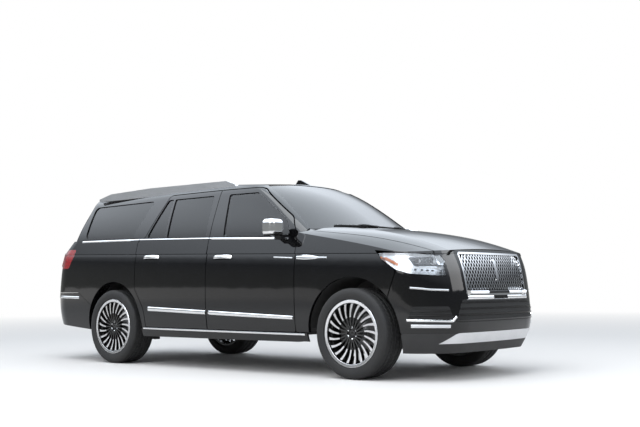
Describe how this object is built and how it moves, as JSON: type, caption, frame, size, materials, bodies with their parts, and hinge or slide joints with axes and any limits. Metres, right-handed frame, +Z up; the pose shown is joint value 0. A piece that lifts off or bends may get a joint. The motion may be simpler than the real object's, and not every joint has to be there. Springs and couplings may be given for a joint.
{
  "type": "suv",
  "caption": "Full-size long-wheelbase black SUV with opening doors, hood and liftgate, bright grille and turbine-style wheels.",
  "frame": {"origin": "on the ground, under the centre of the bounding box", "axes": "+X forward along the length, +Y to the vehicle's left, +Z up"},
  "size_m": [5.6327, 2.372, 1.9365],
  "materials": {
    "paint_black": "gloss",
    "glass_clear": "tinted",
    "glass_dark": "dark tint",
    "bright_trim": "polished",
    "satin_silver": "satin",
    "black_plastic": "grained",
    "tyre_black": "matt",
    "wheel_alloy": "machined",
    "chassis_black": "satin",
    "cast_grey": "as cast",
    "engine_grey": "as cast",
    "pipe_steel": "brushed",
    "lamp_clear": "clear",
    "lamp_red": "clear",
    "seat_leather": "grained",
    "cabin_grey": "soft",
    "floor_black": "matt"
  },
  "bodies": {
    "body": {"body_sides": "paint_black", "fixed_glass": "glass_dark", "roof_panel": "paint_black", "fenders": "paint_black", "headlamps": "lamp_clear", "tail_lamps": "lamp_red", "front_bumper": "paint_black", "grille": "bright_trim", "rear_bumper": "paint_black", "front_valance": "black_plastic", "running_boards": "paint_black", "roof_rails": "satin_silver", "cowl": "black_plastic", "arch_liners": "black_plastic", "ladder_frame": "chassis_black", "floor_pan": "floor_black", "engine_block": "engine_grey", "driveline": "cast_grey", "fuel_tank": "black_plastic", "exhaust": "pipe_steel", "spare_wheel": "tyre_black", "front_suspension": "chassis_black", "rear_suspension": "chassis_black", "dashboard": "cabin_grey", "seats": "seat_leather"},
    "door_front_left": {"door_front_left": "paint_black", "glass_front_left": "glass_clear", "mirror_left": "bright_trim"},
    "door_front_right": {"door_front_right": "paint_black", "glass_front_right": "glass_clear", "mirror_right": "bright_trim"},
    "door_rear_left": {"door_rear_left": "paint_black", "glass_rear_left": "glass_dark"},
    "door_rear_right": {"door_rear_right": "paint_black", "glass_rear_right": "glass_dark"},
    "liftgate": {"liftgate": "paint_black", "liftgate_glass": "glass_dark"},
    "hood": {"hood": "paint_black"},
    "steering_wheel": {"steering_wheel": "cabin_grey"},
    "knuckle_left": {"knuckle_front_left": "cast_grey"},
    "knuckle_right": {"knuckle_front_right": "cast_grey"},
    "wheel_front_left": {"wheel_front_left": "wheel_alloy", "tyre_front_left": "tyre_black"},
    "wheel_front_right": {"wheel_front_right": "wheel_alloy", "tyre_front_right": "tyre_black"},
    "wheel_rear_left": {"wheel_rear_left": "wheel_alloy", "tyre_rear_left": "tyre_black"},
    "wheel_rear_right": {"wheel_rear_right": "wheel_alloy", "tyre_rear_right": "tyre_black"}
  },
  "joints": [
    {"name": "door_front_left_hinge", "type": "hinge", "parent": "body", "child": "door_front_left", "pos_m": [1.2, 0.975, 0.8], "axis": [0, 0, -1], "range_deg": [0, 68]},
    {"name": "door_rear_left_hinge", "type": "hinge", "parent": "body", "child": "door_rear_left", "pos_m": [0.03025, 0.996, 0.8], "axis": [0, 0, -1], "range_deg": [0, 68]},
    {"name": "door_front_right_hinge", "type": "hinge", "parent": "body", "child": "door_front_right", "pos_m": [1.2, -0.975, 0.8], "axis": [0, 0, 1], "range_deg": [0, 68]},
    {"name": "door_rear_right_hinge", "type": "hinge", "parent": "body", "child": "door_rear_right", "pos_m": [0.03025, -0.996, 0.8], "axis": [0, 0, 1], "range_deg": [0, 68]},
    {"name": "liftgate_hinge", "type": "hinge", "parent": "body", "child": "liftgate", "pos_m": [-2.2325, 0, 1.867], "axis": [0, 1, 0], "range_deg": [0, 85]},
    {"name": "hood_hinge", "type": "hinge", "parent": "body", "child": "hood", "pos_m": [1.392, 0, 1.32], "axis": [0, -1, 0], "range_deg": [0, 48]},
    {"name": "steer_left", "type": "hinge", "parent": "body", "child": "knuckle_left", "pos_m": [1.878, 0.765, 0.398], "axis": [0, 0, 1], "range_deg": [-33, 33]},
    {"name": "steer_right", "type": "hinge", "parent": "body", "child": "knuckle_right", "pos_m": [1.878, -0.765, 0.398], "axis": [0, 0, 1], "range_deg": [-33, 33]},
    {"name": "steering_wheel_turn", "type": "hinge", "parent": "body", "child": "steering_wheel", "pos_m": [0.765, 0.4, 1.11], "axis": [-0.9063, 0, 0.4226], "range_deg": [-520, 520]},
    {"name": "wheel_front_left_spin", "type": "hinge", "parent": "knuckle_left", "child": "wheel_front_left", "pos_m": [1.878, 0.855, 0.398], "axis": [0, 1, 0], "continuous": true},
    {"name": "wheel_rear_left_spin", "type": "hinge", "parent": "body", "child": "wheel_rear_left", "pos_m": [-1.464, 0.855, 0.398], "axis": [0, 1, 0], "continuous": true},
    {"name": "wheel_front_right_spin", "type": "hinge", "parent": "knuckle_right", "child": "wheel_front_right", "pos_m": [1.878, -0.855, 0.398], "axis": [0, 1, 0], "continuous": true},
    {"name": "wheel_rear_right_spin", "type": "hinge", "parent": "body", "child": "wheel_rear_right", "pos_m": [-1.464, -0.855, 0.398], "axis": [0, 1, 0], "continuous": true}
  ],
  "couplings": [
    {"joint": "steer_right", "follows": "steer_left", "ratio": 1},
    {"joint": "steering_wheel_turn", "follows": "steer_left", "ratio": 15.5}
  ]
}
